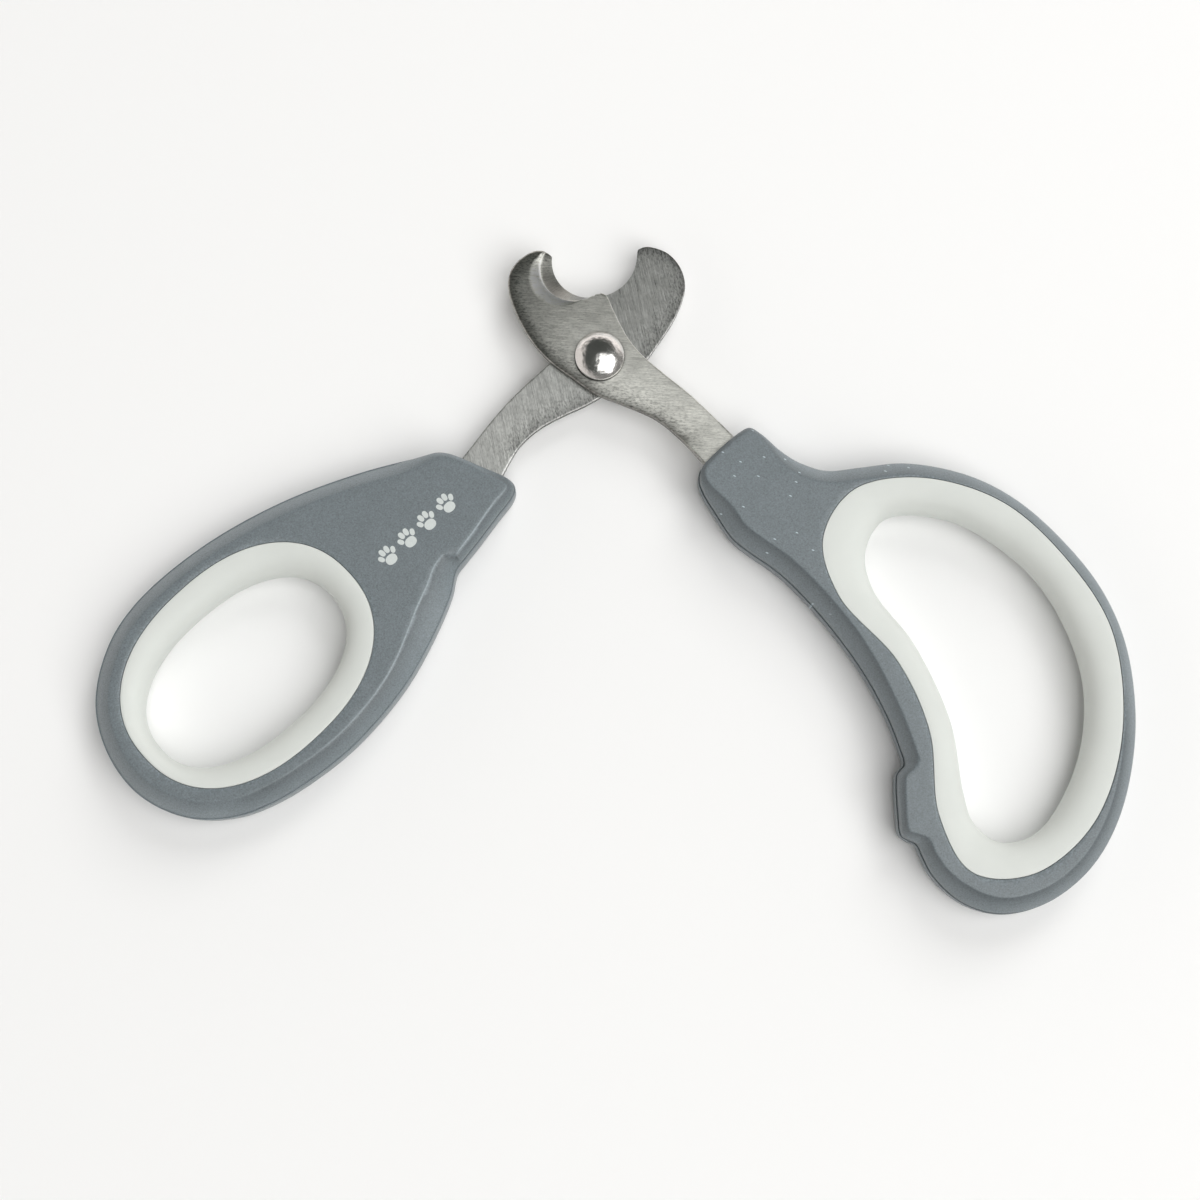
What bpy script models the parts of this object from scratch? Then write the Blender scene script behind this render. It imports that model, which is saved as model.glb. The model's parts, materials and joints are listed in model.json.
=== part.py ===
"""Scissor nail clipper for pets: two hooked steel blades that cross at a rivet, each moulded into a handle.

Frame: the origin is on the pivot axis, at the flat back of the rivet. +Z runs along the pivot towards the
rivet's domed head, and -Y is the line that halves the angle between the open handles. Both halves are
drawn closed, in millimetres around the pivot, and then turned apart to the open rest position.
"""

import math

import bmesh
import bpy
from mathutils import Matrix, Vector

MM = 0.001

# Driving dimensions, in millimetres and degrees.
OPEN_ANGLE = 67.0  # between the handles' closed position and the rest position
FIT_GAP = 0.3  # between pieces that are fixed to each other
RUNNING_GAP = 0.1  # radial, between the rivet's shank and the blades

BLADE_THICK = 1.8
BLADE_GAP = 0.3  # between the two blades' mating faces
EDGE_LAND = 0.35  # what the bevel leaves of the plate's thickness at the cutting edge

HANDLE_THICK = 8.0
HANDLE_EDGE = 1.2  # rounding of the handles' outer edges
GRIP_EDGE = 1.4  # rounding of the soft loops' edges
RIB_DEPTH = 0.9  # how far the soft loop's rib stands into the handle's groove
RIB_THICK = 2.0
RIB_ROOT = 1.0  # between the rib's inner edge and the loop's opening
SLOT_MOUTH = 6.0  # how far the tang's slot runs out of the handle's front

SHANK_RADIUS = 1.9
HEAD_RADIUS = 4.0
HEAD_RIM = 0.55  # straight rim below the dome
HEAD_HEIGHT = 2.3
CAP_RADIUS = 3.6
CAP_THICK = 1.0
CAP_CHAMFER = 0.25

PIN_RADIUS = 1.0  # plastic pins through the tangs

OVERRUN = 1.0  # how far a cutter runs past what it cuts
GRIND_STRETCH = 1.5  # the bevel's cutter is this many times as deep as the bevel
WELD = 2e-6  # metres, between points that are one
SMOOTH_STEPS = 4  # points on a smooth outline between one given point and the next
ROUND_SIDES = 48
GRIND_SIDES = 72
PIN_SIDES = 24
TANG_STEPS = 13
EDGE_STEPS = 25
DOME_STEPS = 8
SHARP_ANGLE = 35

# Heights above the handles' middle plane.
UPPER_TOP = BLADE_GAP / 2 + BLADE_THICK
HEAD_SEAT = UPPER_TOP + RUNNING_GAP
BACK_SEAT = -UPPER_TOP - RUNNING_GAP
BACK_FACE = BACK_SEAT - CAP_THICK
MID_HEIGHT = -BACK_FACE  # of the middle plane above the origin

# Outlines of the closed halves, around the pivot. Each list is one smooth stretch.
UPPER_NOTCH = {"centre": (7.07, 15.08), "radius": 6.2, "tip": 142, "heel": 258}
UPPER_INNER = [(6.3, 8.2), (5.7, 3.2), (5.6, -0.1), (6.1, -3.4), (7.9, -8.9), (9.4, -13.2), (10.9, -19.0)]
UPPER_OUTER = [
    (4.2, -18.2), (2.5, -13.4), (-1.1, -8.2), (-3.6, -4.9), (-5.7, -0.2), (-7.3, 3.9),
    (-8.1, 8.6), (-7.8, 14.0), (-6.7, 18.0), (-5.0, 20.1), (-2.6, 21.1), (0.0, 21.1), (1.3, 20.4), (1.9, 19.7),
]
UPPER_BEVEL = {"centre": (4.12, 15.03), "radius": 5.62}
UPPER_TANG = {"start": (8.5, -22.9), "end": (10.1, -38.0), "width": 6.5, "pins": (0.42, 0.86)}

LOWER_NOTCH = {"centre": (-11.58, 13.85), "radius": 7.36, "tip": 35, "heel": -46}
LOWER_INNER = [(-6.5, 7.6), (-6.1, 4.0), (-5.9, -0.5), (-6.3, -5.1), (-7.5, -11.7), (-8.1, -17.0)]
LOWER_OUTER = [
    (-2.0, -19.4), (-1.1, -14.9), (0.6, -11.2), (2.8, -7.1), (4.6, -2.6), (6.0, 2.6),
    (6.1, 8.5), (5.6, 13.9), (4.1, 18.2), (1.5, 20.5), (-1.6, 21.3), (-4.4, 20.6), (-5.5, 19.8), (-6.0, 18.9),
]
LOWER_BEVEL = {"centre": (-8.7, 13.9), "radius": 6.6}
LOWER_TANG = {"start": (-4.8, -25.6), "end": (-5.6, -42.5), "width": 7.0, "pins": (0.38, 0.84)}

THUMB_BODY = [
    (0.4, -25.0), (1.8, -25.5), (2.4, -26.9), (2.4, -31.0), (2.4, -36.0), (2.3, -39.8), (2.3, -41.9),
    (3.9, -45.6), (5.9, -54.2), (6.8, -62.5), (6.1, -73.2), (4.1, -81.2), (1.4, -88.0), (-2.2, -93.5),
    (-8.2, -98.1), (-16.5, -99.8), (-24.4, -97.7), (-31.0, -92.6), (-35.1, -84.2), (-35.8, -76.0),
    (-33.0, -63.0), (-27.2, -49.7), (-19.8, -38.2), (-13.3, -30.2), (-11.6, -28.3), (-9.8, -27.3),
    (-5.0, -26.1),
]
THUMB_RING = {"centre": (-15.0, -73.4), "half": (16.0, 21.4), "lean": 10.6}
THUMB_HOLE = {"centre": (-15.25, -74.5), "half": (11.35, 18.0), "lean": 11.7}
OVAL_FULLNESS = 2.27  # the rings are a little squarer than ellipses

FINGER_BODY = [
    (13.2, -22.4), (14.6, -22.7), (15.6, -24.5), (16.9, -28.2), (18.7, -31.4), (21.6, -34.7),
    (26.6, -37.1), (32.5, -39.8), (37.6, -43.7), (42.1, -48.7), (45.6, -55.0), (48.0, -63.1),
    (49.2, -72.9), (48.1, -81.6), (44.7, -90.1), (39.2, -98.4), (31.4, -105.9), (23.5, -110.0),
    (15.2, -111.0), (7.8, -108.8), (3.4, -104.1), (1.8, -98.3), (2.2, -93.6), (2.0, -91.9),
    (1.2, -90.2), (1.8, -88.0), (4.5, -83.3), (5.7, -81.8), (7.2, -81.0), (8.0, -78.6), (9.0, -73.0),
    (9.4, -65.2), (8.5, -54.8), (6.5, -45.6), (3.8, -39.2), (2.9, -36.5), (2.7, -32.0), (2.7, -28.0),
    (3.1, -25.9), (4.2, -24.4), (6.0, -23.7),
]
FINGER_RING = [
    (23.0, -40.1), (33.0, -43.6), (42.3, -53.6), (46.2, -67.0), (46.0, -80.5), (37.9, -95.4),
    (26.6, -104.2), (14.6, -105.7), (6.8, -100.6), (7.1, -90.8), (12.9, -78.8), (14.5, -67.0),
    (12.1, -53.4), (14.8, -44.3),
]
FINGER_HOLE = [
    (25.9, -46.4), (34.6, -51.9), (40.2, -62.8), (41.5, -72.5), (38.7, -85.0), (31.0, -95.1), (19.7, -101.0),
    (13.6, -99.2), (11.7, -94.4), (12.9, -89.7), (17.1, -79.4), (18.8, -66.0), (17.9, -55.2), (20.1, -49.4),
]


def clear_scene():
    for obj in list(bpy.data.objects):
        bpy.data.objects.remove(obj, do_unlink=True)


def new_collection(name, hidden=False):
    collection = bpy.data.collections.new(name)
    collection.hide_render = hidden
    bpy.context.scene.collection.children.link(collection)
    return collection


def make_material(name, color, roughness, metallic=0.0):
    material = bpy.data.materials.new(name)
    material.use_nodes = True
    shader = material.node_tree.nodes["Principled BSDF"]
    shader.inputs["Base Color"].default_value = (*color, 1.0)
    shader.inputs["Roughness"].default_value = roughness
    shader.inputs["Metallic"].default_value = metallic
    return material


def smooth(points, closed=False, steps=SMOOTH_STEPS):
    """Points on the centripetal Catmull-Rom curve through the given ones."""
    given = [Vector(p) for p in points]
    count = len(given)
    if closed:
        ring = [given[-1], *given, given[0], given[1]]
    else:
        ring = [2 * given[0] - given[1], *given, 2 * given[-1] - given[-2]]
    out = []
    for i in range(count if closed else count - 1):
        p0, p1, p2, p3 = ring[i : i + 4]
        t1 = math.sqrt((p1 - p0).length)
        t2 = t1 + math.sqrt((p2 - p1).length)
        t3 = t2 + math.sqrt((p3 - p2).length)
        for step in range(steps):
            t = t1 + (t2 - t1) * step / steps
            a1 = p0.lerp(p1, t / t1)
            a2 = p1.lerp(p2, (t - t1) / (t2 - t1))
            a3 = p2.lerp(p3, (t - t2) / (t3 - t2))
            b1 = a1.lerp(a2, t / t2)
            b2 = a2.lerp(a3, (t - t1) / (t3 - t1))
            out.append(b1.lerp(b2, (t - t1) / (t2 - t1)))
    if not closed:
        out.append(given[-1])
    return out


def arc(centre, radius, start, end, count):
    """Points on a circle from one angle to another, in degrees, both ends included."""
    angles = [math.radians(start + (end - start) * i / (count - 1)) for i in range(count)]
    return [Vector((centre[0] + radius * math.cos(a), centre[1] + radius * math.sin(a))) for a in angles]


def oval(centre, half, lean, count=ROUND_SIDES):
    """A closed, slightly square oval whose long axis leans clockwise from +Y."""
    turn = math.radians(-lean)
    out = []
    for i in range(count):
        angle = 2 * math.pi * i / count
        c, s = math.cos(angle), math.sin(angle)
        x = math.copysign(abs(c) ** (2 / OVAL_FULLNESS), c) * half[0]
        y = math.copysign(abs(s) ** (2 / OVAL_FULLNESS), s) * half[1]
        out.append(Vector((
            centre[0] + x * math.cos(turn) - y * math.sin(turn),
            centre[1] + x * math.sin(turn) + y * math.cos(turn),
        )))
    return out


def grown(loop, margin):
    """The closed loop moved outwards by the margin, point by point along its normals."""
    area = sum(a.x * b.y - b.x * a.y for a, b in zip(loop, loop[1:] + loop[:1]))
    side = 1 if area > 0 else -1
    out = []
    for i, point in enumerate(loop):
        along = (loop[(i + 1) % len(loop)] - loop[i - 1]).normalized()
        out.append(point + side * margin * Vector((along.y, -along.x)))
    return out


def bar_ends(tang, margin=0.0):
    """The two sides and the round end of a straight tang, widened by the margin."""
    start, end = Vector(tang["start"]), Vector(tang["end"])
    along = (end - start).normalized()
    right = Vector((-along.y, along.x))
    half = tang["width"] / 2 + margin
    angle = math.degrees(math.atan2(right.y, right.x))
    round_end = arc(end, half, angle, angle - 180, TANG_STEPS)
    return start + half * right, round_end, start - half * right


def blade_outline(notch, inner, outer, tang):
    """Once round the plate: cutting edge, inner side, tang, and back up the outer side."""
    near, round_end, far = bar_ends(tang)
    if inner[-1][0] < outer[0][0]:
        round_end = round_end[::-1]
        near, far = far, near
    edge = arc(notch["centre"], notch["radius"], notch["tip"], notch["heel"], EDGE_STEPS)
    down = smooth([*inner, tuple(near)])
    up = smooth([tuple(far), *outer])
    return edge + down + round_end + up


def link(obj, collection, parent=None, material=None):
    collection.objects.link(obj)
    if parent is not None:
        obj.parent = parent
    if material is not None:
        obj.data.materials.append(material)
    return obj


def slab(name, loops, low, high, edge=0.0, rounding=1):
    """A mesh object: flat closed loops, with holes, filled and raised between two heights."""
    curve = bpy.data.curves.new(name, "CURVE")
    curve.dimensions = "2D"
    curve.fill_mode = "BOTH"
    curve.extrude = ((high - low) / 2 - edge) * MM
    curve.bevel_depth = edge * MM
    curve.bevel_resolution = rounding
    curve.offset = -edge * MM
    for loop in loops:
        spline = curve.splines.new("POLY")
        spline.points.add(len(loop) - 1)
        for point, at in zip(spline.points, loop):
            point.co = (at[0] * MM, at[1] * MM, 0, 1)
        spline.use_cyclic_u = True
    guide = bpy.data.objects.new(name + "_outline", curve)
    bpy.context.scene.collection.objects.link(guide)
    bpy.context.view_layer.update()
    graph = bpy.context.evaluated_depsgraph_get()
    mesh = bpy.data.meshes.new_from_object(guide.evaluated_get(graph))
    bpy.data.objects.remove(guide)
    bpy.data.curves.remove(curve)
    shell = bmesh.new()
    shell.from_mesh(mesh)
    bmesh.ops.remove_doubles(shell, verts=shell.verts, dist=WELD)
    bmesh.ops.translate(shell, verts=shell.verts, vec=(0, 0, (low + high) / 2 * MM))
    bmesh.ops.recalc_face_normals(shell, faces=shell.faces)
    shell.to_mesh(mesh)
    shell.free()
    mesh.name = name
    return bpy.data.objects.new(name, mesh)


def rod(name, centre, radius, low, high, sides=ROUND_SIDES, top_radius=None, top_shift=(0, 0)):
    """An upright cylinder or a cone, whose top may be shifted sideways."""
    mesh = bpy.data.meshes.new(name)
    shell = bmesh.new()
    top = radius if top_radius is None else top_radius
    bmesh.ops.create_cone(
        shell, cap_ends=True, segments=sides, radius1=radius * MM, radius2=top * MM, depth=(high - low) * MM
    )
    upper = [v for v in shell.verts if v.co.z > 0]
    bmesh.ops.translate(shell, verts=upper, vec=(top_shift[0] * MM, top_shift[1] * MM, 0))
    place = Matrix.Translation((centre[0] * MM, centre[1] * MM, (low + high) / 2 * MM))
    bmesh.ops.transform(shell, matrix=place, verts=shell.verts)
    shell.to_mesh(mesh)
    shell.free()
    return bpy.data.objects.new(name, mesh)


def boolean(target, other, operation="DIFFERENCE"):
    modifier = target.modifiers.new(other.name, "BOOLEAN")
    modifier.operation = operation
    modifier.object = other
    modifier.solver = "EXACT"


def add_cutter(cutter, parent):
    link(cutter, cutters, parent)
    cutter.hide_render = True
    cutter.display_type = "WIRE"
    return cutter


def shade(obj):
    obj.data.shade_smooth()
    obj.data.set_sharp_from_angle(angle=math.radians(SHARP_ANGLE))


def pin_centres(tang):
    start, end = Vector(tang["start"]), Vector(tang["end"])
    return [start.lerp(end, share) for share in tang["pins"]]


def make_blade(name, half, outline, tang, notch, bevel, low, bevel_up):
    """A steel plate whose bevel is a slanted cut from the notch to a circle on its outer face."""
    high = low + BLADE_THICK
    blade = slab(name, [outline], low, high)
    link(blade, parts, half, steel)
    bore = rod(name + "_bore", (0, 0), SHANK_RADIUS + RUNNING_GAP, low - OVERRUN, high + OVERRUN)
    boolean(blade, add_cutter(bore, half))
    for index, centre in enumerate(pin_centres(tang)):
        label = f"{name}_pin_hole_{index}"
        hole = rod(label, centre, PIN_RADIUS + FIT_GAP, low - OVERRUN, high + OVERRUN, PIN_SIDES)
        boolean(blade, add_cutter(hole, half))
    base = low + EDGE_LAND
    top = base + (BLADE_THICK - EDGE_LAND) * GRIND_STRETCH
    shift = (Vector(bevel["centre"]) - Vector(notch["centre"])) * GRIND_STRETCH
    top_radius = notch["radius"] + (bevel["radius"] - notch["radius"]) * GRIND_STRETCH
    radius = notch["radius"]
    grind = rod(name + "_grind", notch["centre"], radius, base, top, GRIND_SIDES, top_radius, shift)
    if not bevel_up:
        flip = Matrix.Translation((0, 0, (low + high) * MM)) @ Matrix.Scale(-1, 4, (0, 0, 1))
        grind.data.transform(flip)
        grind.data.flip_normals()
    boolean(blade, add_cutter(grind, half))
    shade(blade)
    return blade


def make_handle(name, half, body, ring, tang, blade_low):
    """A handle with its loop opening, the groove for the soft insert's rib, and the slot for the tang."""
    high = HANDLE_THICK / 2
    handle = slab(name, [smooth(body, closed=True)], -high, high, HANDLE_EDGE)
    link(handle, parts, half, hard_plastic)
    seat = slab(name + "_loop_cut", [grown(ring, FIT_GAP)], -high - OVERRUN, high + OVERRUN)
    boolean(handle, add_cutter(seat, half))
    reach = RIB_DEPTH + FIT_GAP
    depth = RIB_THICK / 2 + FIT_GAP
    groove = slab(name + "_groove", [grown(ring, reach)], -depth, depth)
    boolean(handle, add_cutter(groove, half))
    near, round_end, far = bar_ends(tang, FIT_GAP)
    start, end = Vector(tang["start"]), Vector(tang["end"])
    ahead = (start - end).normalized() * SLOT_MOUTH
    last = 360 - 360 / PIN_SIDES
    pins = [arc(c, PIN_RADIUS, 0, last, PIN_SIDES) for c in pin_centres(tang)]
    slot = slab(
        name + "_slot",
        [[near + ahead, near, *round_end, far, far + ahead], *pins],
        blade_low - FIT_GAP,
        blade_low + BLADE_THICK + FIT_GAP,
    )
    boolean(handle, add_cutter(slot, half))
    shade(handle)
    return handle


def make_grip(name, half, ring, hole):
    """A soft loop with rounded edges, and a rib round its middle that keys it into the handle."""
    high = HANDLE_THICK / 2
    grip = slab(name, [ring, hole], -high, high, GRIP_EDGE)
    link(grip, parts, half, soft_plastic)
    rib = slab(name + "_rib", [grown(ring, RIB_DEPTH), grown(hole, RIB_ROOT)], -RIB_THICK / 2, RIB_THICK / 2)
    boolean(grip, add_cutter(rib, half), "UNION")
    shade(grip)
    return grip


def turned(name, profile, material):
    """A turned piece from a profile of (radius, height) points that runs down its outer side."""
    mesh = bpy.data.meshes.new(name)
    verts = [(radius * MM, 0, height * MM) for radius, height in profile]
    mesh.from_pydata(verts, [(i, i + 1) for i in range(len(verts) - 1)], [])
    piece = link(bpy.data.objects.new(name, mesh), parts, lower_half, material)
    screw = piece.modifiers.new("turn", "SCREW")
    screw.angle = 2 * math.pi
    screw.steps = ROUND_SIDES
    screw.render_steps = ROUND_SIDES
    screw.use_merge_vertices = True
    screw.merge_threshold = WELD
    screw.use_smooth_shade = True
    return piece


def make_rivet():
    """Domed head, shank through both blades, and the peened end flush with the cap's back."""
    rise = HEAD_HEIGHT - HEAD_RIM
    sphere = (HEAD_RADIUS**2 + rise**2) / (2 * rise)
    span = math.asin(HEAD_RADIUS / sphere)
    top = HEAD_SEAT + HEAD_HEIGHT
    profile = []
    for i in range(DOME_STEPS + 1):
        angle = span * i / DOME_STEPS
        profile.append((sphere * math.sin(angle), top - sphere * (1 - math.cos(angle))))
    profile += [(HEAD_RADIUS, HEAD_SEAT), (SHANK_RADIUS, HEAD_SEAT), (SHANK_RADIUS, BACK_FACE), (0, BACK_FACE)]
    return turned("pivot_rivet", profile, chrome)


def make_cap():
    """A flat collar round the peened end, with chamfered edges."""
    inner = SHANK_RADIUS + RUNNING_GAP
    profile = [
        (inner, BACK_SEAT), (CAP_RADIUS, BACK_SEAT), (CAP_RADIUS, BACK_FACE + CAP_CHAMFER),
        (CAP_RADIUS - CAP_CHAMFER, BACK_FACE), (inner, BACK_FACE), (inner, BACK_SEAT),
    ]
    return turned("rivet_cap", profile, chrome)


def make_half(name, turn):
    """The empty on the pivot axis that carries one half."""
    empty = bpy.data.objects.new(name, None)
    parts.objects.link(empty)
    empty.location = (0, 0, MID_HEIGHT * MM)
    empty.rotation_euler = (0, 0, math.radians(turn))
    return empty


clear_scene()
parts = new_collection("scissor_nail_clipper")
cutters = new_collection("cutters", hidden=True)

steel = make_material("blade_steel", (0.40, 0.40, 0.37), 0.32, 1.0)
chrome = make_material("rivet_chrome", (0.62, 0.62, 0.60), 0.14, 1.0)
hard_plastic = make_material("handle_plastic", (0.18, 0.20, 0.215), 0.48)
soft_plastic = make_material("grip_soft", (0.70, 0.72, 0.67), 0.62)

lower_half = make_half("lower_half", -OPEN_ANGLE / 2)
upper_half = make_half("upper_half", OPEN_ANGLE / 2)

upper_outline = blade_outline(UPPER_NOTCH, UPPER_INNER, UPPER_OUTER, UPPER_TANG)
lower_outline = blade_outline(LOWER_NOTCH, LOWER_INNER, LOWER_OUTER, LOWER_TANG)
make_blade(
    "upper_blade", upper_half, upper_outline, UPPER_TANG, UPPER_NOTCH, UPPER_BEVEL, BLADE_GAP / 2, True
)
make_blade(
    "lower_blade", lower_half, lower_outline, LOWER_TANG, LOWER_NOTCH, LOWER_BEVEL, -UPPER_TOP, False
)
make_rivet()
make_cap()

thumb_ring = oval(**THUMB_RING)
thumb_hole = oval(**THUMB_HOLE)
make_handle("thumb_handle", lower_half, THUMB_BODY, thumb_ring, LOWER_TANG, -UPPER_TOP)
make_grip("thumb_grip", lower_half, thumb_ring, thumb_hole)

finger_ring = smooth(FINGER_RING, closed=True)
finger_hole = smooth(FINGER_HOLE, closed=True)
make_handle("finger_handle", upper_half, FINGER_BODY, finger_ring, UPPER_TANG, BLADE_GAP / 2)
make_grip("finger_grip", upper_half, finger_ring, finger_hole)
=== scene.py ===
"""Looks of the scissor nail clipper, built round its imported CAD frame.

Every piece is drawn as the CAD draws it: closed, in millimetres round the pivot, with heights counted
from the handles' middle plane. It is then turned to the rest position and rides on its half.
"""

import json
import math

import bmesh
import bpy
import numpy as np
from mathutils import Matrix, Quaternion, Vector
from mathutils.geometry import delaunay_2d_cdt


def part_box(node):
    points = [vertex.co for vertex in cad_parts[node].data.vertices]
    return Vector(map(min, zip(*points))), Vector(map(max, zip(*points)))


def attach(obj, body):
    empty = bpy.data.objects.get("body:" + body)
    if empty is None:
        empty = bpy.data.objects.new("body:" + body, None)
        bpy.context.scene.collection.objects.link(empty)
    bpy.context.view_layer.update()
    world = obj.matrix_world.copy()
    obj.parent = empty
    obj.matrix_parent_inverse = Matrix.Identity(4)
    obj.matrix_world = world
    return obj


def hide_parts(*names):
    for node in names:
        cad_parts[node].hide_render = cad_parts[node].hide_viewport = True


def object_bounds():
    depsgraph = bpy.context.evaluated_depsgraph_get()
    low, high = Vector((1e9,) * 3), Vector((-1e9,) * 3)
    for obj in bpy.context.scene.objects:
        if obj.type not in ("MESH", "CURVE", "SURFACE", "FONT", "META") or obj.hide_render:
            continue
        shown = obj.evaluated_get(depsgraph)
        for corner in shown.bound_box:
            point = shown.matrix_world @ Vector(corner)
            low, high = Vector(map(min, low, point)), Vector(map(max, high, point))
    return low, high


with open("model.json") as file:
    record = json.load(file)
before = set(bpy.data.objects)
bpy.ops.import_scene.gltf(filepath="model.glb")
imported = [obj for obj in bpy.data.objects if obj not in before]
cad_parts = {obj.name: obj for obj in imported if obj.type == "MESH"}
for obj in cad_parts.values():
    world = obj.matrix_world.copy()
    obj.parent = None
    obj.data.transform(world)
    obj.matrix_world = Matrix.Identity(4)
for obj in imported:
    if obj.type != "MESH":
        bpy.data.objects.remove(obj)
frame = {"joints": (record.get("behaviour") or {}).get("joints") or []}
cad_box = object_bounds()

MM = 0.001
SHARP_ANGLE = 40  # degrees; flatter edges are shaded smooth
pivot = frame["joints"][0]
HALF_TURN = -pivot["range_deg"][0] / 2  # from closed to rest, for each half
MID_HEIGHT = pivot["pos_m"][2] / MM
HANDLE_HALF = (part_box("thumb_handle")[1].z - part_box("thumb_handle")[0].z) / 2 / MM
BLADE_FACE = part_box("upper_blade")[0].z / MM - MID_HEIGHT  # the mating faces lie this far from the middle
BLADE_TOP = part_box("upper_blade")[1].z / MM - MID_HEIGHT
HEAD_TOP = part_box("pivot_rivet")[1].z / MM - MID_HEIGHT
HEAD_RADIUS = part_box("pivot_rivet")[1].x / MM
CAP_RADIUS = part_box("rivet_cap")[1].x / MM
CAP_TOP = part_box("rivet_cap")[1].z / MM - MID_HEIGHT
BACK_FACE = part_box("rivet_cap")[0].z / MM - MID_HEIGHT
FLOOR_HEIGHT = cad_box[0].z

# Outlines of the closed halves, in millimetres round the pivot, as in the CAD. A notch is an arc from
# the tip of the hook to its heel. Its bevel and the scoop behind the bevel end on circles.
UPPER_NOTCH = {"centre": (7.07, 15.08), "radius": 6.2, "tip": 142, "heel": 258}
UPPER_BEVEL = {"centre": (4.12, 15.03), "radius": 5.62}
UPPER_SCOOP = {"centre": (1.36, 14.99), "radius": 5.17}
UPPER_INNER = [(6.3, 8.2), (5.7, 3.2), (5.6, -0.1), (6.1, -3.4), (7.9, -8.9), (9.4, -13.2), (10.9, -19.0)]
UPPER_OUTER = [
    (4.2, -18.2), (2.5, -13.4), (-1.1, -8.2), (-3.6, -4.9), (-5.7, -0.2), (-7.3, 3.9), (-8.1, 8.6),
    (-7.8, 14.0), (-6.7, 18.0), (-5.0, 20.1), (-2.6, 21.1), (0.0, 21.1), (1.3, 20.4), (1.9, 19.7),
]
UPPER_TANG = {"start": (8.5, -22.9), "end": (10.1, -38.0), "width": 6.5, "pins": (0.42, 0.86)}

LOWER_NOTCH = {"centre": (-11.58, 13.85), "radius": 7.36, "tip": 35, "heel": -46}
LOWER_BEVEL = {"centre": (-8.7, 13.9), "radius": 6.6}
LOWER_SCOOP = {"centre": (-6.2, 13.9), "radius": 6.1}
LOWER_INNER = [(-6.5, 7.6), (-6.1, 4.0), (-5.9, -0.5), (-6.3, -5.1), (-7.5, -11.7), (-8.1, -17.0)]
LOWER_OUTER = [
    (-2.0, -19.4), (-1.1, -14.9), (0.6, -11.2), (2.8, -7.1), (4.6, -2.6), (6.0, 2.6), (6.1, 8.5),
    (5.6, 13.9), (4.1, 18.2), (1.5, 20.5), (-1.6, 21.3), (-4.4, 20.6), (-5.5, 19.8), (-6.0, 18.9),
]
LOWER_TANG = {"start": (-4.8, -25.6), "end": (-5.6, -42.5), "width": 7.0, "pins": (0.38, 0.84)}

THUMB_BODY = [
    (0.4, -25.0), (1.8, -25.5), (2.4, -26.9), (2.4, -31.0), (2.4, -36.0), (2.3, -39.8), (2.3, -41.9),
    (3.9, -45.6), (5.9, -54.2), (6.8, -62.5), (6.1, -73.2), (4.1, -81.2), (1.4, -88.0), (-2.2, -93.5),
    (-8.2, -98.1), (-16.5, -99.8), (-24.4, -97.7), (-31.0, -92.6), (-35.1, -84.2), (-35.8, -76.0),
    (-33.0, -63.0), (-27.2, -49.7), (-19.8, -38.2), (-13.3, -30.2), (-11.6, -28.3), (-9.8, -27.3),
    (-5.0, -26.1),
]
THUMB_RING = {"centre": (-15.0, -73.4), "half": (16.0, 21.4), "lean": 10.6}
THUMB_HOLE = {"centre": (-15.25, -74.5), "half": (11.35, 18.0), "lean": 11.7}
OVAL_FULLNESS = 2.27  # 2 is an ellipse, more is squarer

FINGER_BODY = [
    (13.2, -22.4), (14.6, -22.7), (15.6, -24.5), (16.9, -28.2), (18.7, -31.4), (21.6, -34.7),
    (26.6, -37.1), (32.5, -39.8), (37.6, -43.7), (42.1, -48.7), (45.6, -55.0), (48.0, -63.1),
    (49.2, -72.9), (48.1, -81.6), (44.7, -90.1), (39.2, -98.4), (31.4, -105.9), (23.5, -110.0),
    (15.2, -111.0), (7.8, -108.8), (3.4, -104.1), (1.7, -98.3), (1.9, -94.8), (2.1, -92.9),
    (1.4, -91.8), (0.8, -90.6), (0.95, -89.7), (1.8, -88.0), (4.4, -83.3), (5.5, -81.9), (7.2, -81.2),
    (8.0, -78.6), (9.0, -73.0), (9.4, -65.2), (8.5, -54.8), (6.5, -45.6), (3.8, -39.2), (2.9, -36.5),
    (2.7, -32.0), (2.7, -28.0), (3.1, -25.9), (4.2, -24.4), (6.0, -23.7),
]
FINGER_RING = [
    (23.0, -40.1), (33.0, -43.6), (42.3, -53.6), (46.2, -67.0), (46.0, -80.5), (37.9, -95.4),
    (26.6, -104.2), (14.6, -105.7), (6.8, -100.6), (7.1, -90.8), (12.9, -78.8), (14.5, -67.0),
    (12.1, -53.4), (14.8, -44.3),
]
FINGER_HOLE = [
    (25.9, -46.4), (34.6, -51.9), (40.2, -62.8), (41.5, -72.5), (38.7, -85.0), (31.0, -95.1), (19.7, -101.0),
    (13.6, -99.2), (11.7, -94.4), (12.9, -89.7), (17.1, -79.4), (18.8, -66.0), (17.9, -55.2), (20.1, -49.4),
]

# Sections of the handles and grips, in millimetres. Heights are above the middle plane.
HANDLE_TOP = HANDLE_HALF - 0.05
SHOULDER = 2.65  # width of the band between the flat top and the side wall
SHOULDER_SLOPE = 0.62  # just outside the flat top; it steepens towards the side wall
SLOPE_FOOT = 1.55  # the shoulder comes down to about this height
RIDGE_SOFT = 0.06  # how softly the flat top turns into the shoulder
FRONT_SHOULDER = 0.9  # width of the shoulder at the front of both handles
STOP_FACE = -40.3  # where the thumb handle's shoulder steps in, counted along the tool
LEDGE = 0.2  # the upper moulding stands in from the side wall by this much
THUMB_PARTING = 1.5  # height of the ledge on each handle
FINGER_PARTING = 0.1
WALL_FOOT = -2.5  # below it the side wall rounds into the underside
FOOT_REACH = 1.4
SEAM = 0.05  # between the hard plastic and the soft loop
SEAM_FILLET = 0.14
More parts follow.
